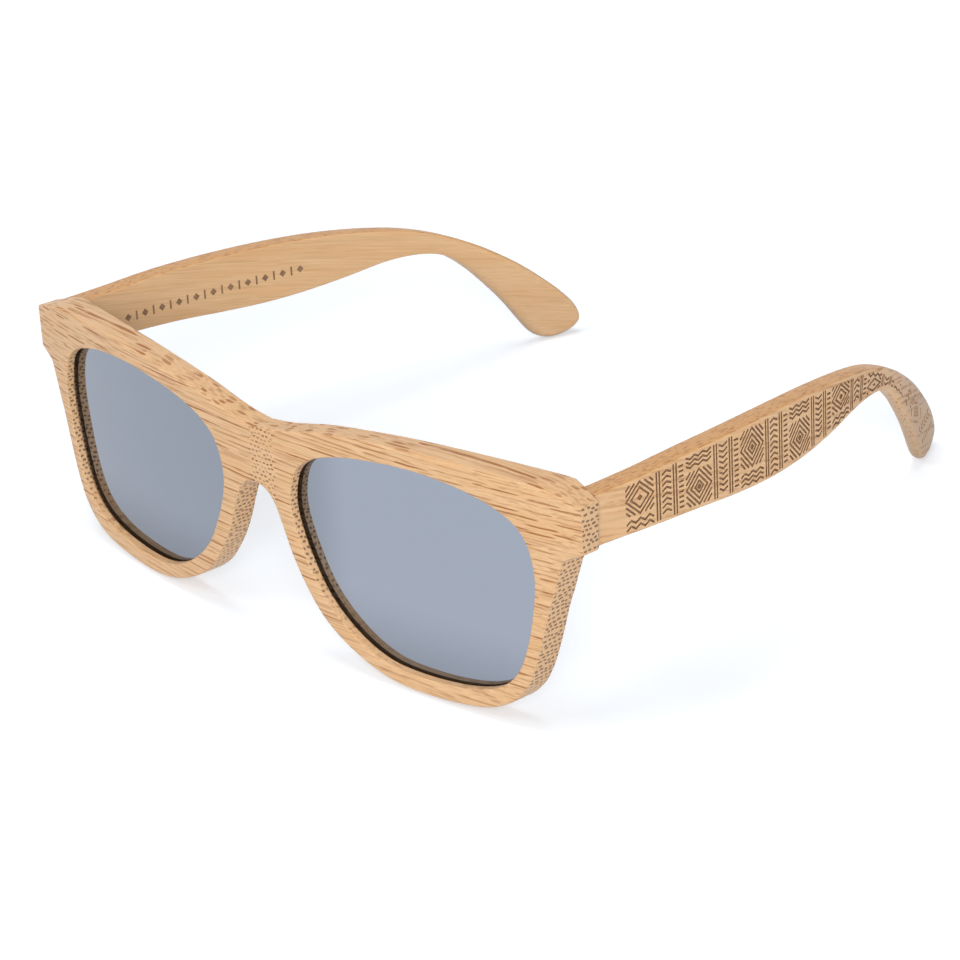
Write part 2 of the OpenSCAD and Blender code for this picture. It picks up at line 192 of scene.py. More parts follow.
def pull_in(line, ways, distances):
    """The line moved along its ways; pieces that would turn round shrink to a point instead."""
    moved = [p + w * d for p, w, d in zip(line, ways, distances)]
    n = len(line)
    for _ in range(4):
        turned = [i for i in range(n)
                  if (moved[(i + 1) % n] - moved[i]).dot(line[(i + 1) % n] - line[i]) < 0]
        if not turned:
            break
        for i in turned:
            middle = (moved[i] + moved[(i + 1) % n]) / 2
            moved[i] = middle.copy()
            moved[(i + 1) % n] = middle.copy()
    return moved


def stroke(path, width, closed):
    """The one or two closed lines that edge a groove drawn along a path."""
    half = width / 2
    if closed:
        ways = side_ways(path)
        return [[p + w * half * s for p, w in zip(path, ways)] for s in (1, -1)]
    ends = [path[0] * 2 - path[1]] + path + [path[-1] * 2 - path[-2]]
    runs = [(b - a).normalized() for a, b in zip(ends, ends[1:])]
    ways = [mitre(before, after) for before, after in zip(runs, runs[1:])]
    return [[p + w * half for p, w in zip(path, ways)]
            + [p - w * half for p, w in reversed(list(zip(path, ways)))]]


def smooth(low, high, value):
    """A soft step from 0 at low to 1 at high."""
    t = min(1.0, max(0.0, (value - low) / (high - low)))
    return t * t * (3 - 2 * t)


def ease(start, stop, span, value):
    """From start to stop, by a soft step over the span."""
    return start - (start - stop) * smooth(*span, value)


# Surfaces of the front and the arms

def arc(radius, along):
    """Height of an arc over its centre, at a distance to the side of its middle."""
    return math.sqrt(radius ** 2 - along * along)


def face_y(x):
    """Face of the front."""
    return FACE_R - arc(FACE_R, x)


def back_y(x, z):
    """Back of the front: thin at the rims, thicker at the brow, cut where the arm butts on the ear."""
    rim = FACE_R - arc(RIM_R, x)
    brow = FRONT_T + BACK_R - arc(BACK_R, x)
    back = rim + (brow - rim) * smooth(*BACK_STEP, z)
    if abs(x) > ARM_IN_X - BUTT_LAP:
        back = min(back, BUTT_Y + (ARM_X - abs(x)) * MITRE)
    return back


def arm_face_x(y):
    """Outer face of the right arm."""
    return ARM_X - BEND_R + arc(BEND_R, max(0.0, y - BEND_Y))


def arm_inner_x(y):
    """Inner face of the right arm."""
    return ARM_IN_X - INNER_R + arc(INNER_R, max(0.0, y - BEND_Y))


def spread(points, x, z, across=1.0):
    """Places from steps off a corner; across turns shares of a width into steps."""
    return [(x + across * dx, z + dz) for dx, dz in points]


def front_outline(steps):
    """Closed outline of the front in x and z."""
    high, low = spread(EAR_HIGH, EAR_X, EAR_TOP), spread(EAR_LOW, EAR_X, EAR_FOOT)
    brow = spread(BROW_NEAR, 0, BROW_Z, EAR_X) + spread(BROW_FAR, 0, BROW_RISE, EAR_X) + high[:1]
    foot = low[-1:] + spread(EAR_ROOT, RIM_X, EAR_FOOT) + spread(RIM_POINTS, LENS_X, LENS_Z)
    foot += spread(NOTCH_POINTS, 0, NOTCH_Z, BRIDGE_W)
    ear = [Vector(p) for p in high[1:] + low[:-1]]
    half = open_curve(brow, steps) + ear + open_curve(foot, steps)
    return half + [Vector((-p.x, p.y)) for p in reversed(half[1:-1])]


def lens_outline(side, steps):
    """Closed outline of a lens opening in x and z."""
    return [Vector((side * (LENS_X + p.x), LENS_Z + p.y)) for p in loop_curve(LENS_POINTS, steps)]


def arm_edges(steps):
    """Top edge, tip and low edge of an arm in y and z, all drawn from the butt end round."""
    view = [[(s * ARM_REACH, h - TIP_DROP) for s, h in points] for points in (ARM_TOP, ARM_TIP, ARM_LOW)]
    start, finish = spread(ARM_START, BUTT_Y, EAR_TOP), spread(ARM_END, BUTT_Y, EAR_FOOT)
    whole = open_curve(start + view[0] + view[1] + view[2] + finish, steps)
    tops = (len(start) + len(view[0]) - 1) * steps
    lows = (len(start) + len(view[0]) + len(view[1])) * steps

    def trim(line):
        i = next(k for k, p in enumerate(line) if p.x > BUTT_END)
        a, b = line[i - 1], line[i]
        return [a.lerp(b, (BUTT_END - a.x) / (b.x - a.x))] + line[i:]

    return trim(whole[:tops + 1]), whole[tops + 1:lows], trim(whole[lows:][::-1])[::-1]


def measured(line):
    """The line's points as columns: length so far, first and second coordinate."""
    runs = np.cumsum([0.0] + [(b - a).length for a, b in zip(line, line[1:])])
    return runs, [p.x for p in line], [p.y for p in line]


# Solids with rounded edges

SHARP, LENS_SHARP = 32, 12
WELD, SLIVER = 2e-5, 1e-7
GRID_ROW, GRID_CLEAR = 0.87, 0.55


def close_up(mesh):
    """Merges doubled corners, drops slivers and points the faces outwards."""
    bm = bmesh.new()
    bm.from_mesh(mesh)
    bmesh.ops.remove_doubles(bm, verts=bm.verts, dist=WELD)
    bmesh.ops.dissolve_degenerate(bm, edges=bm.edges, dist=SLIVER)
    bmesh.ops.recalc_face_normals(bm, faces=bm.faces)
    bm.to_mesh(mesh)
    bm.free()


class Shell:
    """Places and faces of one closed piece, gathered in mm in the front's frame."""

    def __init__(self):
        self.places, self.faces, self.finishes = [], [], []

    def add(self, place):
        self.places.append(place)
        return len(self.places) - 1

    def face(self, ids, finish=0):
        if len(set(ids)) > 2:
            self.faces.append(ids)
            self.finishes.append(finish)

    def mesh(self, name, finishes, side=1, sharp=SHARP):
        """The finished mesh in the row frame; side -1 gives the mirror image."""
        mesh = bpy.data.meshes.new(name)
        mesh.from_pydata([row(side * p[0], p[1], p[2]) for p in self.places], [], self.faces)
        mesh.polygons.foreach_set("material_index", self.finishes)
        close_up(mesh)
        for material in finishes:
            mesh.materials.append(material)
        mesh.shade_smooth()
        mesh.set_sharp_from_angle(angle=math.radians(sharp))
        return mesh


def goes_round(points, line):
    """For each point, whether the closed line goes round it."""
    a = np.array([tuple(p) for p in line])
    b = np.roll(a, -1, 0)
    found = np.zeros(len(points), bool)
    near = np.where(((points > a.min(0)) & (points < a.max(0))).all(1))[0]
    if len(near):
        p = points[near][:, None, :]
        over = (a[:, 1] > p[..., 1]) != (b[:, 1] > p[..., 1])
        rise = np.where(np.abs(b[:, 1] - a[:, 1]) < 1e-12, 1.0, b[:, 1] - a[:, 1])
        x = a[:, 0] + (p[..., 1] - a[:, 1]) * (b[:, 0] - a[:, 0]) / rise
        found[near] = (over & (p[..., 0] < x)).sum(1) % 2 == 1
    return found


def odd_inside(points, lines):
    """For each point, whether an odd number of the lines goes round it."""
    odd = np.zeros(len(points), bool)
    for line in lines:
        odd ^= goes_round(points, line)
    return odd


def fill(shell, lines, line_ids, place, spacing, finish=0, cuts=(), cut_depth=None, cut_finish=0):
    """Closes a face between lines; cuts are closed lines whose insides are sunk by cut_depth."""
    points, edges, known = [], [], {}
    for line, ids in zip(list(lines) + list(cuts), list(line_ids) + [None] * len(cuts)):
        first = len(points)
        for k, p in enumerate(line):
            if ids:
                known[len(points)] = ids[k]
            points.append(Vector((p[0], p[1])))
            edges.append((first + k, first + (k + 1) % len(line)))
    fixed = np.array([tuple(p) for p in points])
    low, high = fixed.min(0), fixed.max(0)
    grid = np.array([(x + spacing * 0.5 * (j % 2), z)
                     for j, z in enumerate(np.arange(low[1], high[1], spacing * GRID_ROW))
                     for x in np.arange(low[0], high[0], spacing)])
    grid = grid[odd_inside(grid, lines)]
    room = np.array([np.min(np.sum((fixed - g) ** 2, 1)) for g in grid]) if len(grid) else np.zeros(0)
    points += [Vector(g) for g in grid[room > (GRID_CLEAR * spacing) ** 2]]
    flat, _, faces, was, _, _ = delaunay_2d_cdt(points, edges, [], 0, 1e-6)
    middles = np.array([[sum(flat[v].x for v in f) / 3, sum(flat[v].y for v in f) / 3] for f in faces])
    wanted = odd_inside(middles, lines)
    sunk = odd_inside(middles, cuts) if cuts else np.zeros(len(faces), bool)
    land, floor, sides = {}, {}, {}

    def land_id(v):
        if v not in land:
            named = [known[i] for i in was[v] if i in known]
            land[v] = named[0] if named else shell.add(place(flat[v], 0.0))
        return land[v]

    def floor_id(v):
        if v not in floor:
            floor[v] = shell.add(place(flat[v], cut_depth(flat[v])))
        return floor[v]

    for f, keep, low_face in zip(faces, wanted, sunk):
        if not keep:
            continue
        shell.face([floor_id(v) if low_face else land_id(v) for v in f], cut_finish if low_face else finish)
        for a, b in zip(f, f[1:] + f[:1]):
            sides.setdefault((min(a, b), max(a, b)), []).append(bool(low_face))
    for (a, b), found in sides.items():
        if len(found) == 2 and found[0] != found[1]:
            shell.face([land_id(a), land_id(b), floor_id(b), floor_id(a)], cut_finish)


def plate(shell, loops, front, back, spacing, finishes=(0, 0, 0), steps=5,
          cuts=(), cut_depth=None, cut_finish=0):
    """A plate between two surfaces. Each loop has a line, hole, front and back rounds and maybe a groove."""
    ends = []
    for loop in loops:
        line = loop["line"]
        turn = (1 if ring_area(line) > 0 else -1) * (-1 if loop.get("hole") else 1)
        ways = [w * turn for w in side_ways(line)]
        near = [loop["front"](p) for p in line]
        far = [loop["back"](p) for p in line]
        rings = []
        for k in range(steps + 1):
            a = math.pi / 2 * k / steps
            flat = pull_in(line, ways, [r * (1 - math.sin(a)) for r in near])
            rings.append((flat, [front(p, r * (1 - math.cos(a))) for p, r in zip(flat, near)]))
        if "groove" in loop:
            start, stop, deep = loop["groove"]
            for inset, depth in ((0, start), (deep, start), (deep, stop), (0, stop)):
                flat = pull_in(line, ways, [inset] * len(line))
                rings.append((flat, [front(p, depth) for p in flat]))
        for k in range(steps + 1):
            a = math.pi / 2 * k / steps
            flat = pull_in(line, ways, [r * (1 - math.cos(a)) for r in far])
            rings.append((flat, [back(p, r * (1 - math.sin(a))) for p, r in zip(flat, far)]))
        ids = [[shell.add(p) for p in places] for _, places in rings]
        for one, two in zip(ids, ids[1:]):
            for i in range(len(line)):
                j = (i + 1) % len(line)
                shell.face([one[i], one[j], two[j], two[i]], finishes[1])
        ends.append((rings[0][0], ids[0], rings[-1][0], ids[-1]))
    fill(shell, [e[0] for e in ends], [e[1] for e in ends], front, spacing, finishes[0],
         cuts, cut_depth, cut_finish)
    fill(shell, [e[2] for e in ends], [e[3] for e in ends], back, spacing, finishes[2])


def add_object(name, data):
    """A new object, linked to the scene."""
    made = bpy.data.objects.new(name, data)
    bpy.context.scene.collection.objects.link(made)
    return made


def put(name, mesh, body, slot, *nodes):
    """Links a finished piece, hides the solids that it stands for and lets it ride on its body."""
    piece = add_object(name, mesh)
    if nodes:
        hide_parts(*nodes)
    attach(piece, body)
    return piece


def evaluated(holder):
    """A plain mesh of what an object's modifiers make."""
    bpy.context.view_layer.update()
    return bpy.data.meshes.new_from_object(holder.evaluated_get(bpy.context.evaluated_depsgraph_get()))


def carve(mesh, cutters):
    """The mesh with box-shaped hollows; each cutter lists the eight corners of one."""
    sides = [(0, 1, 2, 3), (7, 6, 5, 4), (0, 4, 5, 1), (1, 5, 6, 2), (2, 6, 7, 3), (3, 7, 4, 0)]
    work = add_object("carved", mesh)
    tools = []
    for corners in cutters:
        tool_mesh = bpy.data.meshes.new("cutter")
        tool_mesh.from_pydata([row(*c) for c in corners], [], sides)
        close_up(tool_mesh)
        tools.append(add_object("cutter", tool_mesh))
        cut = work.modifiers.new("hollow", "BOOLEAN")
        cut.object, cut.operation, cut.solver = tools[-1], "DIFFERENCE", "EXACT"
    shaped = evaluated(work)
    for used in [work] + tools:
        bpy.data.objects.remove(used)
    shaped.set_sharp_from_angle(angle=math.radians(SHARP))
    return shaped


def hinge_box(side, x0, x1, y0, y1, half, turn=None):
    """Corners of a box at the hinge's height; turn maps them from a seat's own frame."""
    turn = turn or (lambda x, y: (x, y))
    flat = [turn(x, y) for x, y in ((x0, y0), (x1, y0), (x1, y1), (x0, y1))]
    return [(side * x, y, z) for z in (HINGE_Z - half, HINGE_Z + half) for x, y in flat]


# Materials

class Wire:
    """A shader socket that takes part in sums; each sum adds a Math node."""

    def __init__(self, tree, socket=None):
        self.tree, self.socket = tree, socket

    def node(self, kind, settings=None, inputs=None, out=0):
        """Any other node: its type, its settings, and the values or wires of its sockets."""
        made = self.tree.nodes.new(kind)
        for name, value in (settings or {}).items():
            setattr(made, name, value)
        for name, value in (inputs or {}).items():
            if isinstance(value, Wire):
                self.tree.links.new(value.socket, made.inputs[name])
            else:
                made.inputs[name].default_value = value
        return Wire(self.tree, made.outputs[out])

    def sum(self, operation, a, b=0.0):
        return self.node("ShaderNodeMath", {"operation": operation}, {0: a, 1: b})

    def __add__(self, other):
        return self.sum("ADD", self, other)

    def __sub__(self, other):
        return self.sum("SUBTRACT", self, other)

    def __rsub__(self, other):
        return self.sum("SUBTRACT", other, self)

    def __mul__(self, other):
        return self.sum("MULTIPLY", self, other)

    __radd__, __rmul__ = __add__, __mul__

    def step(self, low, high, start=0.0, stop=1.0):
        """A soft step between two values."""
        return self.node("ShaderNodeMapRange", {"interpolation_type": "SMOOTHSTEP"},
                         {"Value": self, "From Min": low, "From Max": high, "To Min": start, "To Max": stop})

    def mix(self, one, two):
        """A colour between one and two, by this value."""
        colours = [c if isinstance(c, Wire) else (*c, 1) for c in (one, two)]
        return self.node("ShaderNodeMix", {"data_type": "RGBA"}, {0: self, 6: colours[0], 7: colours[1]}, 2)

    def pack(self, x, y, z):
        return self.node("ShaderNodeCombineXYZ", None, {0: x, 1: y, 2: z})

    def noise(self, vector, scale, detail, out=0):
        inputs = {"Vector": vector, "Scale": scale, "Detail": detail}
        return self.node("ShaderNodeTexNoise", None, inputs, out)

    def parts(self, kind="ShaderNodeSeparateXYZ"):
        first = self.node(kind, None, {0: self})
        return [Wire(self.tree, s) for s in first.socket.node.outputs[:3]]

    def place(self):
        """Object coordinates, in metres."""
        return self.node("ShaderNodeTexCoord", out="Object")

    def turned(self):
        """Object coordinates along the front's own axes, in mm: x, y and z."""
        inputs = {"Vector": self.place(), "Rotation": (LEAN, 0, 0), "Scale": (MM, MM, MM)}
        return self.node("ShaderNodeMapping", None, inputs).parts()


def new_material(name):
    """A material with one Principled shader, and a wire to start sums from."""
    material = bpy.data.materials.new(name)
    material.use_nodes = True
    tree = material.node_tree
    return material, tree.nodes["Principled BSDF"], Wire(tree)


def link(wire, shader, socket):
    wire.tree.links.new(wire.socket, shader.inputs[socket])


def relief(height, shader, strength, distance):
    """Fine relief from a height; the distance is in metres."""
    bump = height.node("ShaderNodeBump", None, {"Height": height, "Strength": strength, "Distance": distance})
    link(bump, shader, "Normal")


# Bamboo: how the fibres run, and places in mm along, into and up the wood
FIBRE_BOW, ARM_FALL = 0.25, 0.2
NODE_HALF, NODE_EDGE, NODE_DOTS = 3.2, (4.0, 2.8), 0.55
STAGGER, JITTER_ACROSS, JITTER_DEEP = 0.382, 0.52, 0.2
LOW_RIM_SHEEN, ARM_SKIN = (-1.5, 4.0), (69.2, 70.9)
# Painted shade on the paddle tips: where it starts along the arm, and how near the outer face it reaches
PADDLE_SHADE_END, PADDLE_SHADE_SIDE = (32.0, 50.0), (68.4, 69.8)

# Mirror coat: painted shade in its reflection, set by two places in metres and the share of light that the
# coat gives back there
REFLECTED_SHADE_ACROSS, REFLECTED_SHADE_UP = (0.011, 0.022, 0.8, 1.0), (0.003, 0.016, 0.77, 1.0)


def bamboo(name, look, along, pitch, size, run, strength, node_at=None):
    """Solid bamboo in mm: flat fibre bundles run along one axis, so faces show streaks and ends show dots.

    The bundles have a pitch up and into the wood, a half size as a share of it, a run between their breaks
    and a strength on faces that lie along the fibre.
    """
    material, shader, start = new_material(name)
    x, y, z = start.turned()
    if along == "x":
        a, deep, rise = x, y - x * x * (FIBRE_BOW / FACE_R), z
    else:
        bent = start.sum("MAXIMUM", y + (ORIGIN_Y - BEND_Y), 0.0)
        inward = BEND_R - start.sum("SQRT", BEND_R ** 2 - bent * bent)
        a, deep, rise = y, start.sum("ABSOLUTE", x) + inward, z + y * ARM_FALL
    slow = start.noise(start.pack(a * 0.055, rise * 0.3, deep * 0.3), 1.0, 2.0, "Color")
    sway, swell, tint = slow.parts("ShaderNodeSeparateColor")
    across = rise + (sway - 0.5) * (look.sway * 0.5)
    depth = deep + (swell - 0.5) * look.sway

    # How far a face cuts across the fibre; a node counts as such a cut
    facing = start.node("ShaderNodeTexCoord", out="Normal").parts()
    cut = start.sum("ABSOLUTE", facing[0] if along == "x" else facing[1] - facing[2] * ARM_FALL)
    end_grain = cut.step(0.45, 0.95)
    if node_at is not None:
        from_node = a - node_at
        flat = start.sum("ABSOLUTE", facing[1]).step(0.3, 0.8)
        limits = {"Value": from_node, "Min": -NODE_HALF, "Max": NODE_HALF}
        depth = depth + flat * start.node("ShaderNodeClamp", None, limits)
        band = start.sum("ABSOLUTE", from_node).step(*NODE_EDGE) * flat
        end_grain = start.sum("MAXIMUM", end_grain, band * NODE_DOTS)

    # One bundle in each cell of a lattice, moved a little, ragged and broken along its length
    column = across * (1 / pitch[0])
    number = start.sum("FLOOR", column)
    rank = depth * (1 / pitch[1]) + number * STAGGER
    cell = start.pack(number, start.sum("FLOOR", rank), 0.0)
    dice = start.node("ShaderNodeTexWhiteNoise", {"noise_dimensions": "2D"}, {"Vector": cell}, "Color")
    shift, lift, chance = dice.parts("ShaderNodeSeparateColor")
    off_z = start.sum("FRACT", column) - 0.5 + (shift - 0.5) * JITTER_ACROSS
    off_z = off_z * (1 - end_grain * 0.25) * (1 / size[0])
    off_deep = (start.sum("FRACT", rank) - 0.5 + (lift - 0.5) * JITTER_DEEP) * (1 / size[1])
    far = off_deep * off_deep
    ragged = start.noise(start.pack(a * 0.45, rise * 7.0, deep * 3.0), 1.0, 3.0)
    reach = off_z * off_z + far * far + (ragged - 0.5) * (1.6 - end_grain * 1.2)
    broken = start.noise(start.pack(a * (1 / run), rise * 1.6, deep * 1.6), 1.0, 1.0)
    whole = start.sum("MAXIMUM", broken.step(0.36, 0.5, 0.25, 1.0), end_grain)
    vary = start.sum("MAXIMUM", chance.step(0.0, 0.8, 0.3, 1.0), end_grain)
    streak = reach.step(1.3, 0.5) * vary * whole

    # Ground with fine fibres, warm patches and hair lines, then the bundles, then the paddle-shade-and-end
    # tone: a tinge on faces cut across, and painted shade on the outer side of the paddle tips
    fibre = start.noise(start.pack(a * 0.1, rise * 6.5, deep * 6.5), 1.0, 3.0)
    pale = fibre.step(0.3, 0.72).mix(look.deep_tone, look.pale_tone)
    ground = (tint.step(0.42, 0.68) * 0.55).mix(pale, look.warm_tone)
    hair = start.noise(start.pack(a * 0.05, across * 2.6, depth * 2.6), 1.0, 2.0).step(0.52, 0.66)
    ground = (hair * (1 - end_grain) * (strength * 0.44)).mix(ground, look.streak_tone)
    if along == "x":
        # Painted sheen: streaks fade to half low on the rims, so the underside looks paler, as if lit by the
        # white floor
        streak = streak * z.step(*LOW_RIM_SHEEN, 0.5, 1.0)
    else:
        top = facing[2].step(0.45, 0.85)
        fleck = start.noise(start.pack(a * 0.55, deep * 2.4, rise * 2.4), 1.0, 2.0).step(0.5, 0.64)
        ground = (top * 0.9).mix(ground, look.toast_tone)
        ground = (top * fleck * 0.65).mix(ground, look.streak_tone)
        streak = streak * deep.step(*ARM_SKIN, 0.12, 1.0) * (1 - end_grain * 0.8)
    dots = end_grain.mix(look.streak_tone, look.end_tone)
    colour = (streak * (strength + cut.step(0.1, 0.6) * (0.9 - strength))).mix(ground, dots)
    colour = (cut.step(0.1, 0.5) * 0.16).mix(colour, look.paddle_shade_and_end_tone)
    if along == "y":
        # Painted shade: the outer side of each paddle tip is dulled and darkened
        colour = (a.step(*PADDLE_SHADE_END) * deep.step(*PADDLE_SHADE_SIDE) * 0.6).mix(colour, look.paddle_shade_and_end_tone)
    link(colour, shader, "Base Color")
    link(0.4 + streak * 0.14 + fibre * 0.08, shader, "Roughness")
    relief(fibre * 0.35 - streak * 0.8, shader, 0.22, 0.00012)
    shader.inputs["Specular IOR Level"].default_value = 0.42
    return material


def burnt(name, look, fade=None):
    """Laser-burnt wood: dark brown, matt and uneven, turning paler on the stretch of an arm in fade."""
    material, shader, start = new_material(name)
    place = start.place()
    patch = start.noise(place, 900.0, 3.0)
    fine = start.noise(place, 5200.0, 2.0)
    colour = (patch.step(0.3, 0.7) * 0.75 + fine * 0.25).mix(look.burnt_tone, look.scorch_tone)
    if fade:
        back = start.turned()[1] + ORIGIN_Y
        colour = (back + (patch - 0.5) * 16.0).step(*fade, 0.0, 0.4).mix(colour, look.deep_tone)
    link(colour, shader, "Base Color")
    link(0.62 + fine * 0.25, shader, "Roughness")
    relief(fine, shader, 0.3, 0.00005)
    return material


def mirror_coat(look):
    """Silver mirror coat of the lens faces, unevenly polished, with painted shade in its reflection: darker
    on the left lens, at the right lens's nose side and low down.
    """
    material, shader, start = new_material("mirror_coat")
    place = start.place()
    x, _, z = place.parts()
    # Painted reflected shade: less light given back on the left lens, at the right lens's nose side and low
    # down
    light = x.step(*REFLECTED_SHADE_ACROSS) * z.step(*REFLECTED_SHADE_UP)
    link(light.mix((0, 0, 0), look.mirror_tone), shader, "Base Color")
    link(0.03 + start.noise(place, 160.0, 3.0) * 0.03, shader, "Roughness")
    shader.inputs["Metallic"].default_value = 1.0
    return material


def smoke_tint(look):
    """Dark tinted back and edge of a lens."""
    material, shader, start = new_material("smoke_tint")
    smear = start.noise(start.place(), 140.0, 3.0)
    link(smear.mix(look.smoke_tone, tuple(1.25 * c for c in look.smoke_tone)), shader, "Base Color")
    link(0.05 + smear * 0.05, shader, "Roughness")
    return material


def brushed(name, tone, scale):
    """Drawn metal: fine lines along the arm, a little tarnish."""
    material, shader, start = new_material(name)
    place = start.place()
    stretched = start.node("ShaderNodeMapping", None, {"Vector": place, "Scale": (scale, 400, scale)})
    lines = start.noise(stretched, 1.0, 3.0)
    patch = start.noise(place, 1500.0, 2.0)
    link(patch.step(0.35, 0.75).mix(tone, tuple(0.72 * c for c in tone)), shader, "Base Color")
    link(0.24 + lines * 0.2, shader, "Roughness")
    relief(lines, shader, 0.15, 0.00003)
    shader.inputs["Metallic"].default_value = 1.0
    return material


# Engraving: a generic band of nested diamonds, zigzags, chevrons and bars

# Places in one repeat are in mm from its start; heights are shares of the arm's height there
BAND_START, LONGEST_RUN, EDGE_LEAD, EDGE_CLEAR, CUT_CLEAR = 6.2, 1.6, 2, 0.1, 0.12
SLANT_FROM = (60, 112)
DIAMOND_AT, DIAMOND_HALF, DIAMOND_RISE, DIAMOND_MIDDLE = 3.3, 3.05, 0.335, 0.645
RING_STEP, HEART, HEART_SHARE = 0.72, 0.24, 0.6
PANEL_HALF, SHORTEST_CORNER = 3.1, 0.5
ZIGZAG_AT, ZIGZAG_RUN, ZIGZAG_POINTS, ZIGZAG_PITCH = 0.25, 1.02, 7, 0.95
ZIGZAG_SHARE, ZIGZAG_FOOT, ZIGZAG_RISE, ZIGZAG_SWING = 0.26, 0.01, 0.25, 0.16
BARS = (7.1, 7.75, 11.0, 11.65)
CHEVRON, CHEVRON_AT, CHEVRON_RISE, CHEVRON_PITCH = (8.3, 9.38, 10.45), 9.4, 0.55, 1.0
RUNG_START, RUNG_AT, RUNG_STOP, RUNG_PITCH = 12.2, 12.6, 0.35, 0.92


def arm_edge(y, sizes):
    """Round of an arm's long edges: tight at the butt, wide at the tip."""
    reached = smooth(BUTT_END, BUTT_END + BUTT_ROUND_RUN, y)
    return BUTT_ROUND + (sizes.arm_round * MM - BUTT_ROUND) * reached + TIP_ROUND * smooth(*TIP_ROUND_FROM, y)


def engraving(top, low, sizes):
    """Groups of groove outlines in y and z for an arm's outer face, between its top and low edges."""
    top_run, top_y, top_z = measured(top)
    low_run, low_y, low_z = measured(low)
    width = sizes.line_width * MM
    grooves = []

    def at(along, share):
        b = Vector((np.interp(along, top_run, top_y), np.interp(along, top_run, top_z)))
        square = along / top_run[-1] * low_run[-1]
        upright = np.interp(b.x, low_y, low_run)
        below = upright + (square - upright) * smooth(*SLANT_FROM, along)
        a = Vector((np.interp(below, low_run, low_y), np.interp(below, low_run, low_z)))
        edge = arm_edge((a.x + b.x) / 2 + EDGE_LEAD, sizes)
        inset = (edge + width / 2 + EDGE_CLEAR) / (b - a).length
        return a.lerp(b, inset + share * (1 - 2 * inset))

    def height(along):
        return (at(along, 1) - at(along, 0)).length

    def draw(points, closed=False):
        path = []
        for k in range(len(points) - (0 if closed else 1)):
            a, b = Vector(points[k]), Vector(points[(k + 1) % len(points)])
            parts = max(1, math.ceil(abs(b.x - a.x) / LONGEST_RUN))
            path += [at(*a.lerp(b, i / parts)) for i in range(parts)]
        if not closed:
            path.append(at(*points[-1]))
        grooves.append(stroke(path, width, closed))

    tile = sizes.tile * MM
    wide, tall, middle = DIAMOND_HALF, DIAMOND_RISE, DIAMOND_MIDDLE
    for n in range(int((sizes.engraved * MM - BAND_START) / tile)):
        o = BAND_START + n * tile
        centre = o + DIAMOND_AT
        up = n % 2 == 0
        flip = (lambda t: t) if up else (lambda t: 1 - t)
        high = height(centre)
        gap = RING_STEP * math.hypot(wide, tall * high) / (wide * tall * high)

        def diamond(size):
            return [(centre - wide * size, flip(middle)), (centre, flip(middle + tall * size)),
                    (centre + wide * size, flip(middle)), (centre, flip(middle - tall * size))]

        size = 1.0
        while size > gap:
            draw(diamond(size), True)
            size -= gap
        grooves.append([[at(*p) for p in diamond(min(HEART, HEART_SHARE * gap))]])
        for size in (1 + gap, 1 + 2 * gap):
            near = wide * (size - 1)
            rise = tall * (size - PANEL_HALF / wide)
            if near < PANEL_HALF - SHORTEST_CORNER:
                for sx in (-1, 1):
                    for sy in (-1, 1):
                        draw([(centre + sx * PANEL_HALF, flip(middle + sy * rise)),
                              (centre + sx * near, flip(middle + sy * tall))])
        rows = max(1, round(ZIGZAG_SHARE * high / ZIGZAG_PITCH))
        for r in range(rows):
            lift = ZIGZAG_FOOT + r * ZIGZAG_RISE / rows
            draw([(o + ZIGZAG_AT + k * ZIGZAG_RUN, flip(lift + (ZIGZAG_SWING / rows if k % 2 else 0.0)))
                  for k in range(ZIGZAG_POINTS)])
        for x in BARS:
            draw([(o + x, 0.0), (o + x, 1.0)])
        rows = max(2, round(height(o + CHEVRON_AT) / CHEVRON_PITCH))
        for r in range(rows):
            low_end, high_end = r / rows, (r + CHEVRON_RISE) / rows
            side, peak = (low_end, high_end) if up else (high_end, low_end)
            draw([(o + x, share) for x, share in zip(CHEVRON, (side, peak, side))])
        rows = max(2, round(height(o + RUNG_AT) / RUNG_PITCH))
        for r in range(rows + 1):
            draw([(o + RUNG_START, r / rows), (o + tile - RUNG_STOP, r / rows)])
    return grooves


# Sizes and finishes that a user would change

def length(name, text, default, low, high):
    return bpy.props.FloatProperty(name=name, description=text, default=default, min=low, max=high,
                                   precision=5, unit="LENGTH", subtype="DISTANCE")


def tone(name, text, default):
    return bpy.props.FloatVectorProperty(name=name, description=text, default=default, min=0, max=1,
                                         size=3, subtype="COLOR")


class SunglassesSizes(bpy.types.PropertyGroup):
    """Rounds and cuts that the solids leave out."""

    face_round: length("Face round", "Round of the front's outer edge at its face", 0.0004, 0.0001, 0.0012)
    back_round: length("Back round", "Round of the front's outer edge at its back", 0.0005, 0.0002, 0.0016)
    opening_round: length("Opening round", "Round of the lens openings at the face", 0.0003, 0.0001, 0.0006)
    lens_round: length("Lens round", "Round of a lens's edge", 0.0003, 0.0001, 0.0006)
    arm_round: length("Arm round", "Round of an arm's long edges", 0.00035, 0.0002, 0.0012)
    line_width: length("Line width", "Width of the engraved lines", 0.00036, 0.0002, 0.0005)
    line_depth: length("Line depth", "Depth of the engraved lines", 0.00025, 0.00005, 0.0004)
    engraved: length("Engraved length", "Length of the engraved band along an arm", 0.116, 0.03, 0.116)
    tile: length("Tile", "Length of one repeat of the band", 0.0137, 0.0130, 0.018)
    marks: bpy.props.IntProperty(name="Marks", description="Burnt marks on the inner face of the left arm",
                                 default=21, min=3, max=41)
    mark_size: length("Mark size", "Half width of a burnt diamond", 0.00075, 0.0003, 0.001)


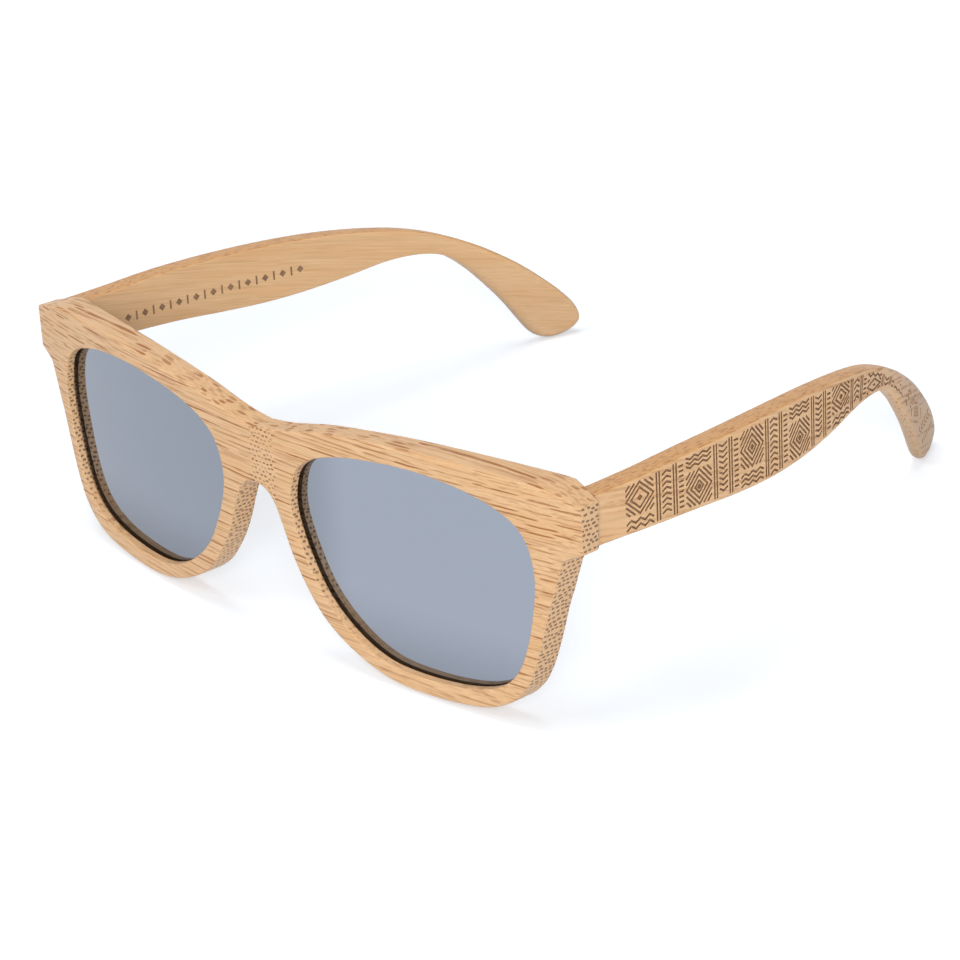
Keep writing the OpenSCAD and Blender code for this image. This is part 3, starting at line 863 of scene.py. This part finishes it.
class SunglassesLook(bpy.types.PropertyGroup):
    """Colours of the finishes, and how far the fibres sway."""

    sway: bpy.props.FloatProperty(name="Sway", description="How far the fibre bundles wander, in mm",
                                  default=1.5, min=0, max=3)
    pale_tone: tone("Pale tone", "Bamboo between the bundles", (0.815, 0.523, 0.282))
    deep_tone: tone("Deep tone", "Bamboo in the fine fibre lines", (0.69, 0.412, 0.2))
    warm_tone: tone("Warm tone", "Broad warm patches", (0.74, 0.42, 0.19))
    # Painted shade on the outer side of the paddle tips; the tinge on faces cut across is the wood's own
    paddle_shade_and_end_tone: tone("Worn tone", "Handled paddle tips, and a tinge on faces cut across", (0.42, 0.29, 0.19))
    toast_tone: tone("Toast tone", "Top edges of the arms", (0.63, 0.325, 0.118))
    streak_tone: tone("Streak tone", "Bundles cut lengthwise", (0.37, 0.142, 0.038))
    end_tone: tone("End tone", "Bundles cut across", (0.145, 0.066, 0.031))
    burnt_tone: tone("Burnt tone", "Engraved lines", (0.2, 0.1, 0.05))
    scorch_tone: tone("Scorch tone", "Paler parts of the engraved lines", (0.33, 0.185, 0.1))
    mirror_tone: tone("Mirror tone", "Mirror coat of the lenses", (0.324, 0.348, 0.399))
    smoke_tone: tone("Smoke tone", "Tinted back of the lenses", (0.03, 0.032, 0.037))
    steel_tone: tone("Steel tone", "Hinge steel", (0.62, 0.63, 0.64))
    dark_steel_tone: tone("Dark steel tone", "Screws and springs", (0.30, 0.31, 0.33))


class SUNGLASSES_OT_front(bpy.types.Operator):
    """Bowed one-piece front with rounded edges and a groove round each lens opening"""

    bl_idname = "sunglasses.front"
    bl_label = "Front"

    def execute(self, context):
        sizes, look = context.scene.sunglasses_sizes, context.scene.sunglasses_look
        shell = Shell()

        def front(p, depth):
            return p.x, face_y(p.x) + depth, p.y

        def back(p, depth):
            return p.x, back_y(p.x, p.y) - depth, p.y

        def outer_back(p):
            foot = EAR_FOOT_ROUND * smooth(*EAR_FOOT_FROM, abs(p.x)) * (1 - smooth(*EAR_FOOT_UNDER, p.y))
            return ease(sizes.back_round * MM, EAR_BACK_ROUND, EAR_BACK_FROM, abs(p.x)) + foot

        def outer_face(p):
            return ease(sizes.face_round * MM, EAR_FACE_ROUND, EAR_FACE_FROM, abs(p.x))

        loops = [{"line": front_outline(FRONT_STEPS), "front": outer_face, "back": outer_back}]
        loops += [{"line": lens_outline(s, FRONT_STEPS), "hole": True, "groove": GROOVE,
                   "front": lambda p: sizes.opening_round * MM, "back": lambda p: OPENING_BACK_ROUND}
                  for s, _ in SIDES]
        plate(shell, loops, front, back, FRONT_SPACING)

        def seat(x, y):
            c, s = math.cos(LEAF_TURN), math.sin(LEAF_TURN)
            return LEAF_X + x * c - y * s, LEAF_Y + x * s + y * c

        wood = bamboo("bamboo_front", look, "x", pitch=(0.84, 1.0), size=(0.19, 0.36), run=6.5,
                      strength=1.0, node_at=2.6)
        seats = [hinge_box(s, *LEAF_SEAT, seat) for s, _ in SIDES]
        mesh = carve(shell.mesh("front_frame_wood", [wood]), seats)
        put("front_frame_wood", mesh, "front", "bamboo", "front_frame")
        return {"FINISHED"}


class SUNGLASSES_OT_lenses(bpy.types.Operator):
    """Two bowed lenses with a mirror coat in front and a smoke tint behind"""

    bl_idname = "sunglasses.lenses"
    bl_label = "Lenses"

    def execute(self, context):
        sizes, look = context.scene.sunglasses_sizes, context.scene.sunglasses_look
        finishes = [mirror_coat(look), smoke_tint(look)]
        edge = sizes.lens_round * MM
        for side, name in SIDES:
            shell = Shell()
            line = lens_outline(side, LENS_STEPS)
            out = -1 if ring_area(line) > 0 else 1
            line = pull_in(line, side_ways(line), [out * LENS_BITE] * len(line))
            plate(shell, [{"line": line, "front": lambda p: edge, "back": lambda p: edge}],
                  lambda p, d: (p.x, face_y(p.x) + LENS_DEPTH + d, p.y),
                  lambda p, d: (p.x, face_y(p.x) + LENS_DEPTH + LENS_T - d, p.y),
                  LENS_SPACING, finishes=(0, 1, 1), steps=3)
            mesh = shell.mesh(f"lens_{name}_glass", finishes, sharp=LENS_SHARP)
            put(f"lens_{name}_glass", mesh, "front", "mirror_lens", f"lens_{name}")
        return {"FINISHED"}


class SUNGLASSES_OT_arms(bpy.types.Operator):
    """Two curved arms with engraved outer faces and a slot for the hinge"""

    bl_idname = "sunglasses.arms"
    bl_label = "Arms"

    def execute(self, context):
        sizes, look = context.scene.sunglasses_sizes, context.scene.sunglasses_look
        top, tip, low = arm_edges(ARM_STEPS)
        line = top + tip + low
        shell = Shell()

        def mitred(y, x):
            return y + MITRE * (ARM_X - x) * min(1.0, max(0.0, 1 - (y - BUTT_END) / MITRE_RUN))

        def outer(p, depth):
            x = arm_face_x(p.x) - depth
            return x, mitred(p.x, x), p.y

        def inner(p, depth):
            x = arm_inner_x(p.x) + depth
            return x, mitred(p.x, x), p.y

        def edge(p):
            return arm_edge(p.x, sizes)

        turn = 1 if ring_area(line) > 0 else -1
        flat = pull_in(line, [w * turn for w in side_ways(line)], [edge(p) + CUT_CLEAR for p in line])
        half = len(tip) // 2
        cuts = []
        for group in engraving(top + tip[:half], list(reversed(tip[half:] + low)), sizes):
            if all(goes_round(np.array([tuple(p) for p in c]), flat).all() for c in group):
                cuts += group

        def sink(p):
            return sizes.line_depth * MM * (1 - WORN_SHARE * smooth(*WORN_FROM, p.x))

        plate(shell, [{"line": line, "front": edge, "back": edge}], outer, inner, ARM_SPACING, steps=4,
              cuts=cuts, cut_depth=sink, cut_finish=1)
        wood = bamboo("bamboo_arm", look, "y", pitch=(1.0, 0.6), size=(0.27, 0.33), run=1.8, strength=0.36)
        finishes = [wood, burnt("burnt_line", look, WORN_FROM)]
        for side, name in SIDES:
            hollows = [hinge_box(side, *hollow) for hollow in (KNUCKLE_SLOT, SLIDER_WAY, BOX_MORTISE)]
            mesh = carve(shell.mesh(f"arm_{name}_wood", finishes, side), hollows)
            put(f"arm_{name}_wood", mesh, f"{name}_arm", "bamboo", f"arm_{name}")
        return {"FINISHED"}


# Burnt row in mm along and up the arm, its bars as shares of a diamond's half width; coil sizes in metres
MARK_FROM, MARK_TO, MARK_Z, MARK_STEPS = 23.5, 62.5, 13.6, 24
MARK_T, BAR_WIDTH, BAR_HEIGHT = 0.00006, 0.5, 2.4
COIL = {"Turns": 7.0, "Radius": 0.00068, "Length": 0.0069, "Wire": 0.00013}
COIL_LEAD = 0.15


def new_tree(name, **kinds):
    """A geometry node tree with inputs of the named kinds: the tree, a wire to start from, and the inputs."""
    tree = bpy.data.node_groups.new(name, "GeometryNodeTree")
    for each, kind in (("Geometry", "Geometry"), *kinds.items()):
        tree.interface.new_socket(each, in_out="INPUT", socket_type=f"NodeSocket{kind}")
    tree.interface.new_socket("Geometry", in_out="OUTPUT", socket_type="NodeSocketGeometry")
    source = tree.nodes.new("NodeGroupInput").outputs
    return tree, Wire(tree), {each: Wire(tree, source[each]) for each in ("Geometry", *kinds)}


def end_tree(tree, start, geometry, material):
    """Ends a tree in real geometry with its material."""
    real = start.node("GeometryNodeRealizeInstances", None, {"Geometry": geometry})
    done = start.node("GeometryNodeSetMaterial", None, {"Geometry": real, "Material": material})
    tree.links.new(done.socket, tree.nodes.new("NodeGroupOutput").inputs[0])


def grown(name, mesh, tree, values):
    """The mesh that a node tree makes from another mesh and the values of its inputs."""
    seed = add_object(name, mesh)
    made_by = seed.modifiers.new(name, "NODES")
    made_by.node_group = tree
    for item in tree.interface.items_tree:
        if item.in_out == "INPUT" and item.name in values:
            made_by[item.identifier] = values[item.name]
    made = evaluated(seed)
    bpy.data.objects.remove(seed)
    if not made.polygons:
        raise RuntimeError(f"{name} came out empty")
    made.name = name
    return made


def mark_tree():
    """Geometry nodes: diamonds and dashes in turn along a path, flat on the wood."""
    tree, start, given = new_tree("burnt_row", Count="Int", Size="Float", Thickness="Float",
                                  Material="Material")
    size, thick = given["Size"], given["Thickness"]
    path = start.node("GeometryNodeMeshToCurve", None, {"Mesh": given["Geometry"]})
    spots = start.node("GeometryNodeResampleCurve", None, {"Curve": path, "Count": given["Count"]})
    outward = start.node("GeometryNodeInputNamedAttribute", {"data_type": "FLOAT_VECTOR"},
                         {"Name": "outward"})
    along = start.node("GeometryNodeInputTangent")
    turned = start.node("FunctionNodeAlignRotationToVector", {"axis": "Z"}, {"Vector": outward})
    turned = start.node("FunctionNodeAlignRotationToVector", {"axis": "X", "pivot_axis": "Z"},
                        {"Rotation": turned, "Vector": along})
    odd = start.sum("MODULO", start.node("GeometryNodeInputIndex"), 2.0)
    diamond = start.node("GeometryNodeMeshCylinder", None, {"Vertices": 4, "Radius": size, "Depth": thick})
    bar = start.node("GeometryNodeMeshCube", None,
                     {"Size": start.pack(size * BAR_WIDTH, size * BAR_HEIGHT, thick)})
    joined = tree.nodes.new("GeometryNodeJoinGeometry")
    for shape, pick in ((diamond, 1 - odd), (bar, odd)):
        marks = start.node("GeometryNodeInstanceOnPoints", None,
                           {"Points": spots, "Selection": pick, "Instance": shape, "Rotation": turned})
        tree.links.new(marks.socket, joined.inputs[0])
    end_tree(tree, start, Wire(tree, joined.outputs[0]), given["Material"])
    return tree


class SUNGLASSES_OT_marks(bpy.types.Operator):
    """Row of burnt diamonds and dashes on the inner face of the left arm"""

    bl_idname = "sunglasses.marks"
    bl_label = "Burnt row"

    def execute(self, context):
        sizes, look = context.scene.sunglasses_sizes, context.scene.sunglasses_look
        mesh = bpy.data.meshes.new("burnt_path")
        places, ways = [], []
        for k in range(MARK_STEPS + 1):
            y = MARK_FROM + (MARK_TO - MARK_FROM) * k / MARK_STEPS
            along = max(0.0, y - BEND_Y)
            places.append(row(-arm_inner_x(y), y, MARK_Z))
            ways.append((row(1, -along / arc(INNER_R, along), 0) - row(0, 0, 0)).normalized())
        mesh.from_pydata(places, [(k, k + 1) for k in range(MARK_STEPS)], [])
        outward = mesh.attributes.new("outward", "FLOAT_VECTOR", "POINT")
        outward.data.foreach_set("vector", [v for way in ways for v in way])
        values = {"Count": sizes.marks, "Size": sizes.mark_size, "Thickness": MARK_T,
                  "Material": burnt("burnt_mark", look)}
        put("burnt_row", grown("burnt_row", mesh, mark_tree(), values), "left_arm", "bamboo")
        return {"FINISHED"}


def coil_tree():
    """Geometry nodes: round wire wound along +Z."""
    tree, start, given = new_tree("coil", Turns="Float", Radius="Float", Length="Float", Wire="Float",
                                  Material="Material")
    path = start.node("GeometryNodeCurveSpiral", None,
                      {"Resolution": 24, "Rotations": given["Turns"], "Start Radius": given["Radius"],
                       "End Radius": given["Radius"], "Height": given["Length"]})
    ring = start.node("GeometryNodeCurvePrimitiveCircle", None, {"Resolution": 8, "Radius": given["Wire"]})
    wire = start.node("GeometryNodeCurveToMesh", None,
                      {"Curve": path, "Profile Curve": ring, "Fill Caps": True})
    end_tree(tree, start, wire, given["Material"])
    return tree


class SUNGLASSES_OT_hinges(bpy.types.Operator):
    """Metal finishes for the sprung hinges, and coils that ride with the sliders"""

    bl_idname = "sunglasses.hinges"
    bl_label = "Hinges"

    def execute(self, context):
        look = context.scene.sunglasses_look
        steel = brushed("hinge_steel", tuple(look.steel_tone), 9000)
        dark = brushed("screw_steel", tuple(look.dark_steel_tone), 7000)
        kinds = {"hinge_leaf": steel, "leaf_screws": dark, "pivot_screw": dark, "slider": steel,
                 "spring_box": steel, "spring_nut": steel}
        for kind, material in kinds.items():
            for _, name in SIDES:
                mesh = frame["nodes"][f"{kind}_{name}"].data
                mesh.materials.clear()
                mesh.materials.append(material)
        tree = coil_tree()
        back = row(0, 1, 0) - row(0, 0, 0)
        turn = Vector((0, 0, 1)).rotation_difference(back).to_matrix().to_4x4()
        for side, name in SIDES:
            mesh = grown(f"coil_{name}_wire", bpy.data.meshes.new("coil"), tree, {**COIL, "Material": dark})
            mesh.transform(Matrix.Translation(row(side * ROD_X, COIL_Y + COIL_LEAD, HINGE_Z)) @ turn)
            mesh.shade_smooth()
            piece = put(f"coil_{name}_wire", mesh, f"{name}_slider", "dark_steel", f"coil_spring_{name}")
            nut_end = row(side * ROD_X, COIL_Y + COIL_SPAN, HINGE_Z)
            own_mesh(piece)
        return {"FINISHED"}


# Stage: the viewpoint's turn, height and roll in degrees, its place in mm and its focal length in pixels
VIEW_ANGLES = (49.097, 22.735, -3.29)
VIEW_PLACE = (392.61, -289.54, 207.81)
FOCAL_LENGTH, PICTURE_WIDTH, SENSOR = 3093.547, 960, 36
FLOOR_HALF, FLOOR_GAP, FLOOR_TONE = 3, 0.0002, (0.74, 0.79, 0.86)
FLOOR_GLOW, SKY_LIGHT = (0.02, 0.4, 0.38, 1.0), 0.25
LAMP_AIM = Vector((0, 0, 0.02))
LAMPS = (
    ("key", (-0.75, -1.05, 1.25), 0.9, 6.2),
    ("fill", (1.19, -0.94, 0.66), 0.9, 18.5),
    ("top", (-0.1, 0.1, 1.6), 1.0, 9.0),
)


def seen_rays(start):
    """1 for light that is seen straight on, in a gloss or through glass."""
    rays = start.node("ShaderNodeLightPath").socket.node.outputs
    straight, gloss, glass = (Wire(start.tree, rays[f"Is {kind} Ray"])
                              for kind in ("Camera", "Glossy", "Transmission"))
    return start.sum("MAXIMUM", start.sum("MAXIMUM", straight, gloss), glass)


class SUNGLASSES_OT_stage(bpy.types.Operator):
    """White floor, soft light and the camera"""

    bl_idname = "sunglasses.stage"
    bl_label = "Stage"

    def execute(self, context):
        scene = context.scene
        scene.view_settings.view_transform = "Standard"
        h = FLOOR_HALF
        floor_mesh = bpy.data.meshes.new("floor")
        floor_mesh.from_pydata([(-h, -h, 0), (h, -h, 0), (h, h, 0), (-h, h, 0)], [], [(0, 1, 2, 3)])
        floor_mesh.materials.append(self.floor_paint())
        floor = add_object("floor", floor_mesh)
        floor.location.z = -FLOOR_GAP
        self.sky(scene)
        for name, place, size, power in LAMPS:
            lamp = bpy.data.lights.new(name, "AREA")
            lamp.size, lamp.energy, lamp.shape = size, power, "DISK"
            holder = add_object(name, lamp)
            holder.location = place
            holder.rotation_euler = (LAMP_AIM - Vector(place)).to_track_quat("-Z", "Y").to_euler()
        self.camera(scene)
        return {"FINISHED"}

    def floor_paint(self):
        """White to the eye and in reflections, and still darker where the shadow falls."""
        material, shader, start = new_material("floor_white")
        tree = material.node_tree
        tree.nodes.remove(shader)
        paint = start.node("ShaderNodeBsdfDiffuse", None, {"Color": (*FLOOR_TONE, 1)})
        x, y, _ = start.place().parts()
        white = seen_rays(start) * (x * x + y * y).step(*FLOOR_GLOW)
        glow = start.node("ShaderNodeEmission", None, {"Color": white.mix((0, 0, 0), (1, 1, 1))})
        both = start.node("ShaderNodeAddShader", None, {0: paint, 1: glow})
        tree.links.new(both.socket, tree.nodes["Material Output"].inputs[0])
        return material

    def sky(self, scene):
        """Even light from all round, white where it is seen."""
        world = bpy.data.worlds.new("studio")
        world.use_nodes = True
        scene.world = world
        background = world.node_tree.nodes["Background"]
        background.inputs["Color"].default_value = (1, 1, 1, 1)
        link(SKY_LIGHT + seen_rays(Wire(world.node_tree)) * (1 - SKY_LIGHT), background, "Strength")

    def camera(self, scene):
        """The photo's viewpoint, in the front's frame turned with its lean."""
        azimuth, elevation, roll = (math.radians(v) for v in VIEW_ANGLES)
        sa, ca, se, ce = math.sin(azimuth), math.cos(azimuth), math.sin(elevation), math.cos(elevation)
        back = Vector((sa * ce, -ca * ce, se))
        level = Vector((ca, sa, 0))
        above = Vector((-sa * se, ca * se, ce))
        right = level * math.cos(roll) + above * math.sin(roll)
        up = above * math.cos(roll) - level * math.sin(roll)
        lean = Matrix.Rotation(-LEAN, 3, "X")
        turn = Matrix([lean @ right, lean @ up, lean @ back]).transposed()
        eye = bpy.data.cameras.new("eye")
        eye.sensor_width, eye.lens, eye.clip_start = SENSOR, SENSOR * FOCAL_LENGTH / PICTURE_WIDTH, 0.01
        holder = add_object("eye", eye)
        holder.matrix_world = Matrix.Translation(row(*VIEW_PLACE)) @ turn.to_4x4()
        scene.camera = holder


OPERATORS = (SUNGLASSES_OT_front, SUNGLASSES_OT_lenses, SUNGLASSES_OT_arms, SUNGLASSES_OT_marks,
             SUNGLASSES_OT_hinges, SUNGLASSES_OT_stage)


class SUNGLASSES_PT_panel(bpy.types.Panel):
    """Sizes, colours and the steps that build the sunglasses"""

    bl_label = "Sunglasses"
    bl_idname = "SUNGLASSES_PT_panel"
    bl_space_type = "VIEW_3D"
    bl_region_type = "UI"
    bl_category = "Sunglasses"

    def draw(self, context):
        for group in (context.scene.sunglasses_sizes, context.scene.sunglasses_look):
            box = self.layout.box()
            for name in group.bl_rna.properties.keys():
                if name not in ("rna_type", "name"):
                    box.prop(group, name)
        for each in OPERATORS:
            self.layout.operator(each.bl_idname)


CLASSES = (SunglassesSizes, SunglassesLook) + OPERATORS + (SUNGLASSES_PT_panel,)


def register():
    for each in CLASSES:
        bpy.utils.register_class(each)
    bpy.types.Scene.sunglasses_sizes = bpy.props.PointerProperty(type=SunglassesSizes)
    bpy.types.Scene.sunglasses_look = bpy.props.PointerProperty(type=SunglassesLook)


def unregister():
    del bpy.types.Scene.sunglasses_sizes
    del bpy.types.Scene.sunglasses_look
    for each in reversed(CLASSES):
        bpy.utils.unregister_class(each)


def main():
    register()
    for step in (bpy.ops.sunglasses.front, bpy.ops.sunglasses.lenses, bpy.ops.sunglasses.arms,
                 bpy.ops.sunglasses.marks, bpy.ops.sunglasses.hinges, bpy.ops.sunglasses.stage):
        step()


if __name__ == "__main__":
    main()
